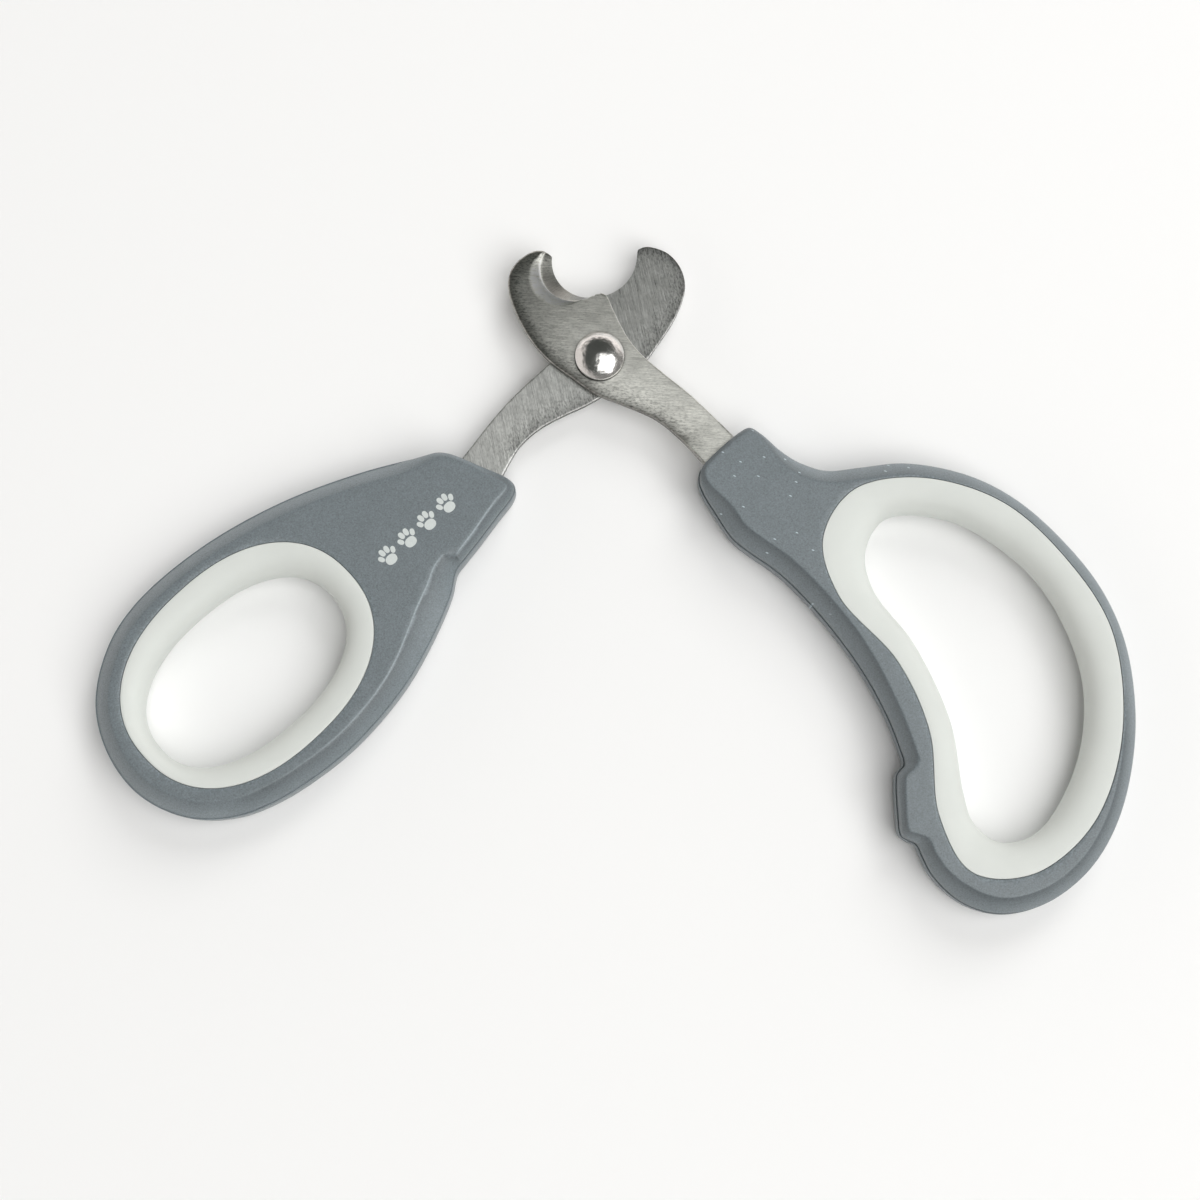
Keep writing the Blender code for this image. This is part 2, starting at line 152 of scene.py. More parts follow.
RIB_DEPTH = 0.9  # the rib round each grip, which sits in a groove of the handle
RIB_HALF = 1.0
GRIP_TOP = HANDLE_TOP - 0.05
GRIP_FULLNESS = 2.4  # 2 is a round section, more is squarer
SLOT_GAP = 0.12  # round the tang
SLOT_AHEAD = 6  # the slot runs on by this much, out through the front of the handle
PIN_RADIUS = 1.0
PIN_GAP = 0.3  # round the pins, in the holes of the tang

# Sections of the blades and the rivet.
EDGE_LAND = 0.35  # thickness left at the cutting edge
BLADE_CROWN = 0.55  # a broad fall towards the far side, and how wide it is
CROWN_REACH = 9.5
SHOULDER_CROWN = 0.22  # a steeper fall close to the far side
SHOULDER_REACH = 1.8
EDGE_ROLL = 0.1  # rounding of the worked face's rim
ROLL_REACH = 0.25
SCOOP_DEPTH = 0.34  # of the hollow ground behind the bevel
FLAT_CHAMFER = 0.05  # round the mating face
BORE_RADIUS = 2.0
SHANK_RADIUS = 1.9
DOME_FOOT = 0.65  # height of the head's side wall
HEAD_GAP = 0.1  # between the blade and the head

# The row of paw prints on the thumb handle. Each pad has a centre, half sizes and a lean.
MARK_CENTRE = np.array([-6.2, -40.5])
MARK_HEADING = 79.1
MARK_STEPS = (-6.2, -2.07, 2.07, 6.2)
MARK_SCALE = 1.15
MARK_SUNK, MARK_PROUD = 0.03, 0.02
PADS = [
    ((0, -0.55), (0.85, 0.7), 0), ((-1.05, 0.35), (0.34, 0.5), 25), ((-0.4, 0.95), (0.36, 0.55), 8),
    ((0.4, 0.95), (0.36, 0.55), -8), ((1.05, 0.35), (0.34, 0.5), -25),
]

# Stage. The lamps and the floor are in metres, the camera is in millimetres and degrees.
LAMP_DISTANCE = 2.0
DAYLIGHT = (1.0, 0.995, 0.985)
FLOOR_GREY = 0.905
FLOOR_HALF = 3
FLOOR_GAP = 0.00002  # so that the floor and the lowest faces don't share a plane
CEILING = (0.075, 0.08, 0.075, 1)
WALL = (0.93, 0.88, 0.85, 1)
CAMERA_AIM = (1.85, -39.64)  # where the middle of the picture meets the tool's middle plane
CAMERA_DISTANCE = 304
CAMERA_TILT = 9  # from straight down
CAMERA_ROLL = 2.6
LENS = 57
SENSOR = 36


# Flat geometry: every function takes and gives arrays of x, y rows.
def smooth(points, closed=False, steps=10):
    """Points on the centripetal Catmull-Rom curve through the given ones."""
    given = [np.array(p, float) for p in points]
    count = len(given)
    if closed:
        ring = [given[-1], *given, given[0], given[1]]
    else:
        ring = [2 * given[0] - given[1], *given, 2 * given[-1] - given[-2]]
    out = []
    for i in range(count if closed else count - 1):
        p0, p1, p2, p3 = ring[i : i + 4]
        t1 = math.sqrt(np.hypot(*(p1 - p0)))
        t2 = t1 + math.sqrt(np.hypot(*(p2 - p1)))
        t3 = t2 + math.sqrt(np.hypot(*(p3 - p2)))
        for step in range(steps):
            t = t1 + (t2 - t1) * step / steps
            a1 = p0 + (p1 - p0) * t / t1
            a2 = p1 + (p2 - p1) * (t - t1) / (t2 - t1)
            a3 = p2 + (p3 - p2) * (t - t2) / (t3 - t2)
            b1 = a1 + (a2 - a1) * t / t2
            b2 = a2 + (a3 - a2) * (t - t1) / (t3 - t1)
            out.append(b1 + (b2 - b1) * (t - t1) / (t2 - t1))
    if not closed:
        out.append(given[-1])
    return np.array(out)


def arc(centre, radius, start, end, count):
    angles = np.radians(np.linspace(start, end, count))
    return np.stack([centre[0] + radius * np.cos(angles), centre[1] + radius * np.sin(angles)], 1)


def circle(centre, radius, count=32):
    return arc(centre, radius, 0, 360 - 360 / count, count)


def oval(centre, half, lean, count):
    """A closed, slightly square oval whose long axis leans clockwise from +Y."""
    angles = np.linspace(0, 2 * math.pi, count, endpoint=False)
    c, s = np.cos(angles), np.sin(angles)
    x = np.sign(c) * np.abs(c) ** (2 / OVAL_FULLNESS) * half[0]
    y = np.sign(s) * np.abs(s) ** (2 / OVAL_FULLNESS) * half[1]
    turn = math.radians(-lean)
    return np.stack([
        centre[0] + x * math.cos(turn) - y * math.sin(turn),
        centre[1] + x * math.sin(turn) + y * math.cos(turn),
    ], 1)


def resampled(line, step, closed=True):
    """The same line with its points spread evenly, about a step apart."""
    path = np.vstack([line, line[:1]]) if closed else line
    along = np.concatenate([[0], np.cumsum(np.hypot(*np.diff(path, axis=0).T))])
    count = max(3, round(along[-1] / step))
    at = np.linspace(0, along[-1], count, endpoint=False) if closed else np.linspace(0, along[-1], count + 1)
    return np.stack([np.interp(at, along, path[:, 0]), np.interp(at, along, path[:, 1])], 1)


def outward(loop):
    """Unit normals of a closed loop, pointing out of it."""
    ahead, behind = np.roll(loop, -1, 0), np.roll(loop, 1, 0)
    area = np.sum(loop[:, 0] * ahead[:, 1] - ahead[:, 0] * loop[:, 1])
    along = ahead - behind
    normal = np.stack([along[:, 1], -along[:, 0]], 1) * (1 if area > 0 else -1)
    return normal / np.hypot(*normal.T)[:, None]


def grown(loop, margin):
    return loop + margin * outward(loop)


def chunks(points):
    """The points in groups that keep the tables of the next two functions small."""
    return np.array_split(points, max(1, len(points) // 1000))


def distance(points, line, closed=True):
    """Distance of each point from a line of straight stretches."""
    starts = line if closed else line[:-1]
    ends = np.roll(line, -1, 0) if closed else line[1:]
    run = ends - starts
    length2 = np.maximum(np.sum(run**2, 1), 1e-12)
    out = []
    for chunk in chunks(points):
        rel = chunk[:, None] - starts[None]
        share = np.clip(np.sum(rel * run[None], 2) / length2, 0, 1)
        out.append(np.sqrt(np.min(np.sum((rel - share[..., None] * run[None]) ** 2, 2), 1)))
    return np.concatenate(out)


def inside(points, loop):
    """Which points lie inside a closed loop."""
    ahead = np.roll(loop, -1, 0)
    out = []
    for chunk in chunks(points):
        x, y = chunk[:, 0][:, None], chunk[:, 1][:, None]
        crosses = (loop[:, 1] > y) != (ahead[:, 1] > y)
        rise = np.where(ahead[:, 1] == loop[:, 1], 1e-12, ahead[:, 1] - loop[:, 1])
        at = loop[:, 0] + (y - loop[:, 1]) * (ahead[:, 0] - loop[:, 0]) / rise
        out.append(np.sum(crosses & (x < at), 1) % 2 == 1)
    return np.concatenate(out)


def from_circle(points, ring):
    """Distance outside a circle, negative within it."""
    return np.hypot(points[:, 0] - ring["centre"][0], points[:, 1] - ring["centre"][1]) - ring["radius"]


def bar_ends(tang, margin=0.0):
    """The two sides and the round end of a straight tang, widened by the margin."""
    start, end = np.array(tang["start"]), np.array(tang["end"])
    along = (end - start) / np.hypot(*(end - start))
    right = np.array([-along[1], along[0]])
    half = tang["width"] / 2 + margin
    angle = math.degrees(math.atan2(right[1], right[0]))
    round_end = arc(end, half, angle, angle - 180, 25)
    return start + half * right, round_end, start - half * right


def pin_centres(tang):
    start, end = np.array(tang["start"]), np.array(tang["end"])
    return [start + (end - start) * share for share in tang["pins"]]


def blade_lines(notch, inner, outer, tang):
    """The cutting edge, and the rest of the plate's outline from its heel round to its tip."""
    near, round_end, far = bar_ends(tang)
    if inner[-1][0] < outer[0][0]:
        round_end = round_end[::-1]
        near, far = far, near
    edge = arc(notch["centre"], notch["radius"], notch["tip"], notch["heel"], 60)
    down = smooth([*inner, tuple(near)])
    up = smooth([tuple(far), *outer])
    return edge, np.vstack([edge[-1:], down, round_end, up, edge[:1]])


# Meshes.
def triangulated(loops, points):
    """Triangles over the area inside the first loop and outside the others.

    Gives the flat points, the triangles and, for each loop, where its points went.
    """
    given = np.vstack([*loops, points])
    edges, first = [], 0
    for loop in loops:
        count = len(loop)
        edges += [(first + i, first + (i + 1) % count) for i in range(count)]
        first += count
    made = delaunay_2d_cdt([Vector(p) for p in given], edges, [], 0, 1e-7, True)
    flat = np.array([tuple(v) for v in made[0]])
    triangles = np.array([f for f in made[2] if len(f) == 3])
    centres = flat[triangles].mean(1)
    keep = inside(centres, loops[0])
    for hole in loops[1:]:
        keep &= ~inside(centres, hole)
    triangles = triangles[keep]
    used, triangles = np.unique(triangles, return_inverse=True)
    place = {old: new for new, old in enumerate(used)}
    went = {}
    for k, sources in enumerate(made[3]):
        if k in place:
            went.update((source, place[k]) for source in sources)
    rings, first = [], 0
    for loop in loops:
        rings.append([went[first + i] for i in range(len(loop))])
        first += len(loop)
    return flat[used], triangles.reshape(-1, 3), rings


def inner_points(loops, insets, step, spacing):
    """Points inside the first loop and clear of the others: rows at the insets from it, then a grid."""
    rows = []
    for inset in insets:
        line = resampled(loops[0], step)
        line = line - inset * outward(line)
        rows.append(line[(distance(line, loops[0]) > inset - 0.02) & inside(line, loops[0])])
    low, high = loops[0].min(0), loops[0].max(0)
    xs = np.arange(low[0], high[0], spacing)
    ys = np.arange(low[1], high[1], spacing * math.sqrt(3) / 2)
    grid = np.array([(x + (k % 2) * spacing / 2, y) for k, y in enumerate(ys) for x in xs])
    grid = grid[inside(grid, loops[0])]
    rows.append(grid[distance(grid, loops[0]) > max(insets) + spacing / 2])
    points = np.vstack(rows)
    for hole in loops[1:]:
        points = points[~inside(points, hole)]
        points = points[distance(points, hole) > step / 2]
    return points


def strip(ring, following):
    """Quads between two rings of point numbers."""
    return list(zip(ring, np.roll(ring, -1), np.roll(following, -1), following))


def solid(name, loops, points, top, bottom, walls, marks=None):
    """A closed piece between two height fields. Each wall is a list of (outward shift, height) rows.

    Each mark is a named function of the points, kept on the mesh for the material to read.
    """
    flat, triangles, rings = triangulated(loops, points)
    count = len(flat)
    verts = [np.column_stack([flat, top(flat)]), np.column_stack([flat, bottom(flat)])]
    faces = [*map(tuple, triangles), *map(tuple, triangles[:, ::-1] + count)]
    plates = len(faces)
    total = 2 * count
    for loop, ring, rows in zip(loops, rings, walls):
        normals = outward(loop)
        before = np.array(ring)
        size = len(ring)
        for shift, height in rows:
            verts.append(np.column_stack([loop + shift * normals, np.full(size, height)]))
            row = total + np.arange(size)
            total += size
            faces += strip(before, row)
            before = row
        faces += strip(before, np.array(ring) + count)
    verts = np.vstack(verts)
    points_marks = {key: mark(verts) for key, mark in (marks or {}).items()}
    side = (np.arange(len(faces)) >= plates).astype(float)
    return mesh_object(name, verts, faces, points_marks, side)


def shade(mesh):
    mesh.shade_smooth()
    mesh.set_sharp_from_angle(angle=math.radians(SHARP_ANGLE))


def mesh_object(name, verts, faces, marks=None, side=None):
    """A mesh object from rows of millimetres, with its marks on the points and its walls marked as side."""
    mesh = bpy.data.meshes.new(name)
    mesh.from_pydata([tuple(v) for v in verts * MM], [], [tuple(map(int, f)) for f in faces])
    for key, values in (marks or {}).items():
        mesh.attributes.new(key, "FLOAT", "POINT").data.foreach_set("value", values.astype(np.float32))
    if side is not None:
        mesh.attributes.new("side", "FLOAT", "FACE").data.foreach_set("value", side.astype(np.float32))
    shell = bmesh.new()
    shell.from_mesh(mesh)
    bmesh.ops.recalc_face_normals(shell, faces=shell.faces)
    shell.to_mesh(mesh)
    shell.free()
    shade(mesh)
    obj = bpy.data.objects.new(name, mesh)
    bpy.context.scene.collection.objects.link(obj)
    return obj


def placed(obj, turn, material, body, cad_node=None):
    """Turns a piece from closed to rest, lifts it to its height, and gives it its material and body."""
    place = Matrix.Translation((0, 0, MID_HEIGHT * MM)) @ Matrix.Rotation(math.radians(turn), 4, "Z")
    obj.data.transform(place)
    obj.data.materials.clear()
    obj.data.materials.append(material)
    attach(obj, body)
    if cad_node:
        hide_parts(cad_node)


def lathed(name, profile, sides=128):
    """A turned piece from a closed profile of (radius, height) points. Zero radii are single points."""
    verts, rows = [], []
    angles = np.linspace(0, 2 * math.pi, sides, endpoint=False)
    for radius, height in profile:
        if radius == 0:
            rows.append([len(verts)] * sides)
            verts.append((0, 0, height))
        else:
            rows.append(list(range(len(verts), len(verts) + sides)))
            verts += [(radius * math.cos(a), radius * math.sin(a), height) for a in angles]
    faces = []
    for upper, lower in zip(rows, rows[1:]):
        for i in range(sides):
            j = (i + 1) % sides
            corners = list(dict.fromkeys([upper[i], upper[j], lower[j], lower[i]]))
            if len(corners) > 2:
                faces.append(corners)
    return mesh_object(name, np.array(verts, float), faces)


# Handles.
def shoulder_drop(depth, width):
    """How far the surface falls below the flat top, at a depth from the rim of the shoulder."""
    out = RIDGE_SOFT * np.logaddexp(0, (width - depth) / RIDGE_SOFT)
    room = HANDLE_TOP - SLOPE_FOOT
    steeper = np.clip(2 * (room / width - SHOULDER_SLOPE), -0.3, 0.9)
    return SHOULDER_SLOPE * out + steeper * out**2 / (2 * width)


def foot_rise(depth):
    """The smaller rounding of the underside."""
    share = np.clip(1 - depth / FOOT_REACH, 0, 1)
    return (WALL_FOOT + HANDLE_TOP) * (1 - np.sqrt(1 - share**2))


def eased(run, length):
    """Rises smoothly from 0 to 1 over the length."""
    share = np.clip(run / length, 0, 1)
    return share * share * (3 - 2 * share)


def thumb_width(points):
    """Narrow at the front; on the inner side it widens at the stop face, swells and then settles."""
    x, y = points[:, 0], points[:, 1]
    outer = FRONT_SHOULDER + (SHOULDER - FRONT_SHOULDER) * eased(-27 - y, 9)
    inner = np.interp(y, *zip(*[
        (-72, SHOULDER), (-66, 2.72), (-62, 2.93), (-58, 3.28), (-54.5, 3.68), (-52, 3.92), (-50, 3.99),
        (-48, 3.93), (-46, 3.72), (-44, 3.4), (-42.4, 3.08), (-41.1, 2.85), (STOP_FACE, 1.3), (-36, 1.4),
        (-29, 1.65), (-26.4, 1.3),
    ]))
    return outer + (inner - outer) * np.clip((x + 6) / 5, 0, 1)


def thumb_inner_side(points):
    return np.clip((points[:, 0] + 4) / 3, 0, 1)


def thumb_ridge_highlight(points):
    """A painted highlight along the ridge on the inner side, weakest near the step."""
    along = [-85, -70, -50, -43, -41, -39, -36, -28, -26]
    strength = np.interp(points[:, 1], along, [0, 0.6, 1, 0.8, 0.3, 0.8, 1, 0.6, 0])
    return strength * thumb_inner_side(points)


def thumb_dent(points):
    """The small hollow where the step in the shoulder meets the stop face."""
    across, along = (points[:, 0] - 0.95) / 0.65, (points[:, 1] - STOP_FACE + 0.2) / 0.75
    return 0.3 * np.exp(-(across**2) - along**2)


def finger_width(points):
    """Narrow at the front and round the lug on the inner side."""
    x, y = points[:, 0], points[:, 1]
    front = FRONT_SHOULDER + (SHOULDER - FRONT_SHOULDER) * eased(-24.5 - y, 9)
    inner = np.interp(y, *zip(*[
        (-108, 2.8), (-103.6, 2.9), (-100.8, 2.4), (-97.6, 2.1), (-95, 1.8), (-92.9, 1.85), (-91.4, 1.5),
        (-89.9, 1.1), (-88.2, 1.0), (-85.5, 1.1), (-83, 1.15), (-82.3, 1.5), (-81.6, 1.95), (-76.4, 1.95),
        (-70, 2.1), (-60, SHOULDER),
    ]))
    return np.minimum(front, inner + (SHOULDER - inner) * np.clip((x - 13) / 6, 0, 1))


def finger_ridge_shade(points):
    """How strongly painted shade darkens the shoulder under the ridge, less so on the outer side."""
    return 1 - 0.6 * eased(points[:, 0] - 14, 6) * eased(points[:, 1] + 97, 10)


def finger_specked(points):
    """The front of the handle carries small light nicks."""
    return eased(points[:, 1] + 62, 16)


def nowhere(points):
    return np.zeros(len(points))


# What tells one handle's surface from the other's: the width of its shoulder, its moulding and wear, and its
# painted highlight and painted shade.
THUMB_SURFACE = {
    "width": thumb_width, "dent": thumb_dent, "ridge_highlight": thumb_ridge_highlight, "ridge_shade": thumb_inner_side,
    "specked": nowhere,
}
FINGER_SURFACE = {
    "width": finger_width, "dent": nowhere, "ridge_highlight": nowhere, "ridge_shade": finger_ridge_shade,
    "specked": finger_specked,
}


def ridge_rows(outline, opening, width_at):
    """Points on the crease of the shoulder and close to both sides of it."""
    rows = []
    for shift in (-0.15, -0.05, 0.04, 0.14):
        start = resampled(outline, 0.35)
        normal = outward(start)
        row = start - SHOULDER * normal
        for _ in range(5):
            row = start - (width_at(row) + shift)[:, None] * normal
        off = distance(row, outline) - width_at(row) - shift
        rows.append(row[inside(row, outline) & (np.abs(off) < 0.03)])
    points = np.vstack(rows)
    points = points[~inside(points, opening) & (distance(points, opening) > 0.2)]
    _, first = np.unique(np.round(points / 0.04), axis=0, return_index=True)
    return points[np.sort(first)]


def make_handle(name, body, ring, tang, blade_low, parting, surface):
    """A hard shell with its ledge, shoulder and groove for the grip, cut for the tang and its pins."""
    width_at = surface["width"]
    outline = resampled(smooth(body, closed=True), 0.4)
    ring = resampled(ring, 0.4)
    edge = grown(outline, -LEDGE)
    opening = grown(ring, SEAM + SEAM_FILLET)
    insets = [0.1, 0.25, 0.45, 0.7, 1.0, 1.35, 1.7, 2.0, 2.2, 2.35, 2.5, 2.7, 3.0, 3.5]
    points = inner_points([edge, opening], insets, 0.45, 1.1)
    near_ridge = np.abs(distance(points, outline) - width_at(points)) < 0.24
    points = np.vstack([points[~near_ridge], ridge_rows(outline, opening, width_at)])

    def top(flat):
        drop = shoulder_drop(distance(flat, outline) - LEDGE, width_at(flat) - LEDGE)
        return HANDLE_TOP - drop - surface["dent"](flat)

    def bottom(flat):
        return -HANDLE_TOP + foot_rise(distance(flat, outline))

    side = [
        (0, parting - 0.06), (0.06, parting - 0.06), (0.08, parting), (0.16, parting),
        (LEDGE, parting - 0.05), (LEDGE, -0.4), (LEDGE, WALL_FOOT + 0.3), (LEDGE * 0.7, WALL_FOOT - 0.3),
    ]
    fillet = [(-0.7 * SEAM_FILLET, HANDLE_TOP - 0.3 * SEAM_FILLET), (-SEAM_FILLET, HANDLE_TOP - SEAM_FILLET)]
    groove = RIB_HALF + 2 * SEAM
    into = [*fillet, (-SEAM_FILLET, groove), (RIB_DEPTH + SEAM - SEAM_FILLET, groove)]
    well = into + [(shift, -height) for shift, height in reversed(into)]

    def wear(at):
        return np.exp(-distance(at[:, :2], opening) / 0.2)

    # Painted highlight along the ridge of the shoulder, on the upper side.
    def ridge_highlight(at):
        from_ridge = distance(at[:, :2], outline) - width_at(at) + 0.05
        return np.exp(-((from_ridge / 0.16) ** 2)) * surface["ridge_highlight"](at) * (at[:, 2] > 0)

    def painted_shading(at):
        """Painted light towards the rim and painted shade under the ridge."""
        from_rim = distance(at[:, :2], outline)
        from_ridge = np.maximum(width_at(at) - from_rim, 0)
        ridge_shade = surface["ridge_shade"](at)
        lit = (0.36 - 0.14 * ridge_shade) * (1 - from_rim / width_at(at)) - 0.44 * ridge_shade * np.exp(-from_ridge)
        return lit * np.clip(from_ridge / 0.25, 0, 1) * (at[:, 2] > 0.3)

    marks = {"wear": wear, "ridge_highlight": ridge_highlight, "painted_shading": painted_shading, "specked": surface["specked"]}
    handle = solid(name, [edge, opening], points, top, bottom, [side, well], marks)
    cut_slot(handle, tang, blade_low)
    return handle


def cut_slot(handle, tang, blade_low):
    """Cuts the room for the tang, leaving the pins that run through its holes."""
    near, round_end, far = bar_ends(tang, SLOT_GAP)
    start, end = np.array(tang["start"]), np.array(tang["end"])
    ahead = SLOT_AHEAD * (start - end) / np.hypot(*(start - end))
    slot = [np.vstack([[near + ahead], [near], round_end, [far], [far + ahead]])]
    slot += [circle(c, PIN_RADIUS) for c in pin_centres(tang)]
    low, high = blade_low - SLOT_GAP, blade_low + BLADE_TOP - BLADE_FACE + SLOT_GAP
    cutter = solid(
        handle.name + "_slot", slot, np.zeros((0, 2)),
        lambda flat: np.full(len(flat), high), lambda flat: np.full(len(flat), low), [[]] * len(slot),
    )
    cut = handle.modifiers.new("slot", "BOOLEAN")
    cut.object = cutter
    cut.solver = "EXACT"
    bpy.context.view_layer.update()
    graph = bpy.context.evaluated_depsgraph_get()
    mesh = bpy.data.meshes.new_from_object(handle.evaluated_get(graph))
    handle.modifiers.clear()
    handle.data = mesh
    bpy.data.objects.remove(cutter)
    shade(mesh)


def make_grip(name, ring, hole):
    """A soft loop lofted between its outer seam and its opening, with the rib that keys it in the handle."""
    count = len(ring)
    normals = outward(ring)
    shares = np.sin(np.linspace(0.05, 1, 16) * math.pi / 2)
    crown = [(u, 0, GRIP_TOP * max(0, 1 - u**GRIP_FULLNESS) ** (1 / GRIP_FULLNESS)) for u in shares]
    over = [(0, 0, GRIP_TOP - SEAM_FILLET), (0, -0.3 * SEAM_FILLET, GRIP_TOP - 0.3 * SEAM_FILLET), *crown]
    under = [(u, shift, -height) for u, shift, height in reversed(over[:-1])]
    rib = [(0, 0, -RIB_HALF), (0, RIB_DEPTH, -RIB_HALF), (0, RIB_DEPTH, RIB_HALF), (0, 0, RIB_HALF)]
    verts, faces = [], []
    section = over + under + rib
    for u, shift, height in section:
        flat = ring + (hole - ring) * u + normals * shift
        verts.append(np.column_stack([flat, np.full(count, height)]))
    around = np.arange(count)
    for k in range(len(section)):
        faces += strip(k * count + around, (k + 1) % len(section) * count + around)
    return mesh_object(name, np.vstack(verts), faces)


# Blades.
def share_along(points, notch):
    """How far round the notch each point lies: 0 at the tip of the hook and 1 at its heel."""
    turn = np.degrees(np.arctan2(points[:, 1] - notch["centre"][1], points[:, 0] - notch["centre"][0]))
    return ((turn - notch["tip"] + 180) % 360 - 180) / (notch["heel"] - notch["tip"])


def worked_height(points, notch, bevel, scoop, sides, far_side):
    """Height of the ground side above the mating face: crowned, scooped round the hook, then bevelled."""
    full = BLADE_TOP - BLADE_FACE
    depth = distance(points, sides, closed=False)
    from_far = distance(points, far_side, closed=False)
    reach = CROWN_REACH - 3.5 * np.clip((4 - points[:, 1]) / 16, 0, 1)
    crown = BLADE_CROWN * (reach / CROWN_REACH) * np.clip(1 - from_far / reach, 0, 1) ** 2
    crown += SHOULDER_CROWN * np.clip(1 - from_far / SHOULDER_REACH, 0, 1) ** 2
    roll = EDGE_ROLL * np.clip(1 - depth / ROLL_REACH, 0, 1) ** 2
    from_notch = from_circle(points, notch)
    from_bevel = from_circle(points, bevel)
    from_scoop = from_circle(points, scoop)
    across = np.clip(from_bevel / np.maximum(from_bevel - from_scoop, 1e-6), 0, 1)
    scoop_depth = SCOOP_DEPTH * (1 - 0.85 * eased(share_along(points, notch), 0.9))
    scooped = (from_scoop < 0) * scoop_depth * (1 - np.where(from_bevel > 0, across, 0)) ** 1.4
    height = full - crown - roll - scooped
    share = np.clip(from_notch / np.maximum(from_notch - from_bevel, 1e-6), 0, 1)
    return np.where(from_bevel < 0, EDGE_LAND + (height - EDGE_LAND) * share, height)


def make_blade(name, notch, bevel, scoop, inner, outer, tang, up):
    """One blade: the upper one has its worked side up, the lower one has it down."""
    edge, rest = blade_lines(notch, inner, outer, tang)
    edge = resampled(edge, 0.22, closed=False)
    rest = resampled(rest, 0.25, closed=False)
    outline = np.vstack([edge, rest[1:-1]])
    holes = [circle((0, 0), BORE_RADIUS, 64), *[circle(c, PIN_RADIUS + PIN_GAP) for c in pin_centres(tang)]]
    loops = [outline, *holes]
    points = inner_points(loops, [0.08, 0.2, 0.36, 0.56, 0.8, 1.1], 0.28, 0.45)
    seat = HEAD_RADIUS if up else CAP_RADIUS
    creases = np.vstack([
        *[arc(ring["centre"], ring["radius"] + shift, 0, 359, 170)
          for ring in (bevel, scoop) for shift in (-0.06, 0, 0.06)],
        *[circle((0, 0), seat + shift, 170) for shift in (0.03, 0.13, 0.24, 0.4)],
    ])
    creases = creases[inside(creases, outline) & (distance(creases, outline) > 0.1)]
    near_crease = np.minimum(np.abs(from_circle(points, bevel)), np.abs(from_circle(points, scoop))) < 0.1
    points = np.vstack([points[~near_crease], creases])
    far_side, near_side = smooth(outer), smooth(inner)

    def worked(flat):
        return BLADE_FACE + worked_height(flat, notch, bevel, scoop, rest, far_side)

    def mating(flat):
        depth = distance(flat, rest, closed=False)
        return BLADE_FACE + FLAT_CHAMFER * np.clip(1 - depth / FLAT_CHAMFER, 0, 1)

    def around(at):
        """Length round the notch, for the grinding lines of the bevel."""
        return np.arctan2(at[:, 1] - notch["centre"][1], at[:, 0] - notch["centre"][0]) * notch["radius"]

    def round_hook(at):
        """Rises behind the tip of the hook and fades before the heel."""
        along = share_along(at, notch)
        return eased(along + 0.1, 0.35) * (1 - eased(along - 0.75, 0.3))

    def heel(at):
        """Rises towards the heel of the notch."""
        return eased(share_along(at, notch) - 0.12, 0.4)

    def worked_side(at):
        return np.abs(at[:, 2]) > BLADE_FACE + EDGE_LAND / 2

    def crest_highlight(at):
        """Painted highlight: a bright line along the bevel, and a fainter one along the inner side."""
        along_bevel = np.exp(-np.abs(from_circle(at, bevel)) / 0.09) * (1 - 0.75 * heel(at))
        along_side = 0.8 * np.exp(-distance(at[:, :2], near_side, closed=False) / 0.1)
        return worked_side(at) * np.maximum(along_bevel, along_side)

    def painted_seat_shadow(at):
        """Painted shadow: a dark line close round the rivet."""
        out = np.hypot(at[:, 0], at[:, 1]) - seat - 0.03
        return worked_side(at) * np.exp(-np.maximum(out, 0) / 0.12)

    marks = {
        "wear": lambda at: np.exp(-distance(at[:, :2], outline) / 0.5),
        # Grime, and painted shade along the far side.
        "grime_and_shade": lambda at: np.exp(-distance(at[:, :2], far_side, closed=False) / 1.6),
        "ground": lambda at: ((from_circle(at, bevel) < -0.03) & worked_side(at)).astype(float),
        # Where the scoop round the hook is painted lighter.
        "scoop": lambda at: np.clip(-from_circle(at, scoop) / 0.6, 0, 1) * worked_side(at) * round_hook(at),
        "crest_highlight": crest_highlight,
        "around": around,
        # Where painted shade deepens the bevel towards the heel.
        "heel": heel,
        "seat": painted_seat_shadow,
        # Duller towards the handle; the lower blade is also painted lighter there.
        "satin": lambda at: np.clip((6 - at[:, 1]) / 22, 0, 1),
    }
    no_rows = [[]] * len(loops)
    if up:
        return solid(name, loops, points, worked, mating, no_rows, marks)
    return solid(name, loops, points, lambda flat: -mating(flat), lambda flat: -worked(flat), no_rows, marks)


# Rivet.
def make_rivet():
    """The domed head and the shank, which is dimpled where it is peened over the collar."""
    seat = BLADE_TOP + HEAD_GAP
    rise = HEAD_TOP - seat - DOME_FOOT
    reach = HEAD_RADIUS - 0.08
    sphere = (reach**2 + rise**2) / (2 * rise)
    dome = [
        (sphere * math.sin(a), HEAD_TOP - sphere * (1 - math.cos(a)))
        for a in np.linspace(0, math.asin(reach / sphere), 40)
    ]
    dome[0] = (0, HEAD_TOP)
    profile = [
        *dome, (HEAD_RADIUS - 0.02, seat + 0.6), (HEAD_RADIUS, seat + 0.52), (HEAD_RADIUS, seat + 0.08),
        (HEAD_RADIUS - 0.08, seat), (SHANK_RADIUS, seat), (SHANK_RADIUS, BACK_FACE + 0.12),
        (SHANK_RADIUS - 0.12, BACK_FACE), (0.7, BACK_FACE), (0.5, BACK_FACE + 0.12), (0, BACK_FACE + 0.15),
    ]
    return lathed("rivet", profile)


